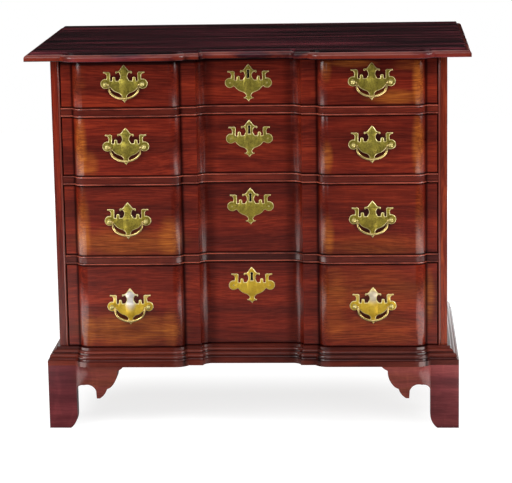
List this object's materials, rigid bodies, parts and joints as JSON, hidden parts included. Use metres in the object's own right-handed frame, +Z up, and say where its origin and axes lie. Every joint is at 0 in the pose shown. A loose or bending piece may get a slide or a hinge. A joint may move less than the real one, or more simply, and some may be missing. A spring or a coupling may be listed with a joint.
{
  "type": "block front chest of drawers",
  "caption": "Low mahogany chest of graduated drawers with blocked front, moulded top, bracket feet, pierced willow-shaped brass plates with swinging bails, and drawer locks.",
  "frame": {"origin": "middle of the floor area that the whole chest covers", "axes": "+X to the chest's right seen from the front, +Y towards its back, +Z up"},
  "size_m": [0.922, 0.548, 0.8105],
  "materials": {
    "top": "dark polished mahogany",
    "fronts": "polished figured mahogany",
    "case": "polished mahogany",
    "base": "polished mahogany, worn to orange at the edges",
    "secondary_wood": "bare aged pine",
    "brass": "aged brass, bright where it is handled",
    "iron": "dark iron"
  },
  "bodies": {
    "case": {"top_board": "top", "side_left": "case", "side_right": "case", "side_beads": "case", "back_boards": "secondary_wood", "bottom_board": "secondary_wood", "top_rail": "case", "divider_upper": "case", "divider_middle": "case", "divider_lower": "case", "drawer_runners": "secondary_wood", "drawer_stops": "secondary_wood", "base_moulding_front": "base", "base_moulding_left": "base", "base_moulding_right": "base", "front_bracket_left": "base", "front_bracket_right": "base", "side_brackets": "base", "rear_brackets": "secondary_wood", "foot_blocks": "secondary_wood"},
    "drawer_1": {"drawer_1_front": "fronts", "drawer_1_sides": "secondary_wood", "drawer_1_back": "secondary_wood", "drawer_1_bottom": "secondary_wood", "drawer_1_plates": "brass", "drawer_1_posts": "brass", "drawer_1_lock": "iron"},
    "bail_1_left": {"drawer_1_bail_left": "brass"},
    "bail_1_right": {"drawer_1_bail_right": "brass"},
    "lock_bolt_1": {"drawer_1_lock_bolt": "iron"},
    "drawer_2": {"drawer_2_front": "fronts", "drawer_2_sides": "secondary_wood", "drawer_2_back": "secondary_wood", "drawer_2_bottom": "secondary_wood", "drawer_2_plates": "brass", "drawer_2_posts": "brass", "drawer_2_lock": "iron"},
    "bail_2_left": {"drawer_2_bail_left": "brass"},
    "bail_2_right": {"drawer_2_bail_right": "brass"},
    "lock_bolt_2": {"drawer_2_lock_bolt": "iron"},
    "drawer_3": {"drawer_3_front": "fronts", "drawer_3_sides": "secondary_wood", "drawer_3_back": "secondary_wood", "drawer_3_bottom": "secondary_wood", "drawer_3_plates": "brass", "drawer_3_posts": "brass", "drawer_3_lock": "iron"},
    "bail_3_left": {"drawer_3_bail_left": "brass"},
    "bail_3_right": {"drawer_3_bail_right": "brass"},
    "lock_bolt_3": {"drawer_3_lock_bolt": "iron"},
    "drawer_4": {"drawer_4_front": "fronts", "drawer_4_sides": "secondary_wood", "drawer_4_back": "secondary_wood", "drawer_4_bottom": "secondary_wood", "drawer_4_plates": "brass", "drawer_4_posts": "brass", "drawer_4_lock": "iron"},
    "bail_4_left": {"drawer_4_bail_left": "brass"},
    "bail_4_right": {"drawer_4_bail_right": "brass"},
    "lock_bolt_4": {"drawer_4_lock_bolt": "iron"}
  },
  "joints": [
    {"name": "drawer_1_slide", "type": "slide", "parent": "case", "child": "drawer_1", "axis": [0, -1, 0], "range_m": [0, 0.36]},
    {"name": "bail_1_left_swing", "type": "hinge", "parent": "drawer_1", "child": "bail_1_left", "pos_m": [-0.257, -0.2384, 0.74102], "axis": [-1, 0, 0], "range_deg": [-13, 193]},
    {"name": "bail_1_right_swing", "type": "hinge", "parent": "drawer_1", "child": "bail_1_right", "pos_m": [0.257, -0.2384, 0.74102], "axis": [-1, 0, 0], "range_deg": [-13, 193]},
    {"name": "lock_bolt_1_slide", "type": "slide", "parent": "drawer_1", "child": "lock_bolt_1", "axis": [0, 0, 1], "range_m": [0, 0.008]},
    {"name": "drawer_2_slide", "type": "slide", "parent": "case", "child": "drawer_2", "axis": [0, -1, 0], "range_m": [0, 0.36]},
    {"name": "bail_2_left_swing", "type": "hinge", "parent": "drawer_2", "child": "bail_2_left", "pos_m": [-0.257, -0.2384, 0.60911], "axis": [-1, 0, 0], "range_deg": [-13, 193]},
    {"name": "bail_2_right_swing", "type": "hinge", "parent": "drawer_2", "child": "bail_2_right", "pos_m": [0.257, -0.2384, 0.60911], "axis": [-1, 0, 0], "range_deg": [-13, 193]},
    {"name": "lock_bolt_2_slide", "type": "slide", "parent": "drawer_2", "child": "lock_bolt_2", "axis": [0, 0, 1], "range_m": [0, 0.008]},
    {"name": "drawer_3_slide", "type": "slide", "parent": "case", "child": "drawer_3", "axis": [0, -1, 0], "range_m": [0, 0.36]},
    {"name": "bail_3_left_swing", "type": "hinge", "parent": "drawer_3", "child": "bail_3_left", "pos_m": [-0.257, -0.2384, 0.45069], "axis": [-1, 0, 0], "range_deg": [-13, 193]},
    {"name": "bail_3_right_swing", "type": "hinge", "parent": "drawer_3", "child": "bail_3_right", "pos_m": [0.257, -0.2384, 0.45069], "axis": [-1, 0, 0], "range_deg": [-13, 193]},
    {"name": "lock_bolt_3_slide", "type": "slide", "parent": "drawer_3", "child": "lock_bolt_3", "axis": [0, 0, 1], "range_m": [0, 0.008]},
    {"name": "drawer_4_slide", "type": "slide", "parent": "case", "child": "drawer_4", "axis": [0, -1, 0], "range_m": [0, 0.36]},
    {"name": "bail_4_left_swing", "type": "hinge", "parent": "drawer_4", "child": "bail_4_left", "pos_m": [-0.257, -0.2384, 0.26541], "axis": [-1, 0, 0], "range_deg": [-13, 193]},
    {"name": "bail_4_right_swing", "type": "hinge", "parent": "drawer_4", "child": "bail_4_right", "pos_m": [0.257, -0.2384, 0.26541], "axis": [-1, 0, 0], "range_deg": [-13, 193]},
    {"name": "lock_bolt_4_slide", "type": "slide", "parent": "drawer_4", "child": "lock_bolt_4", "axis": [0, 0, 1], "range_m": [0, 0.008]}
  ]
}
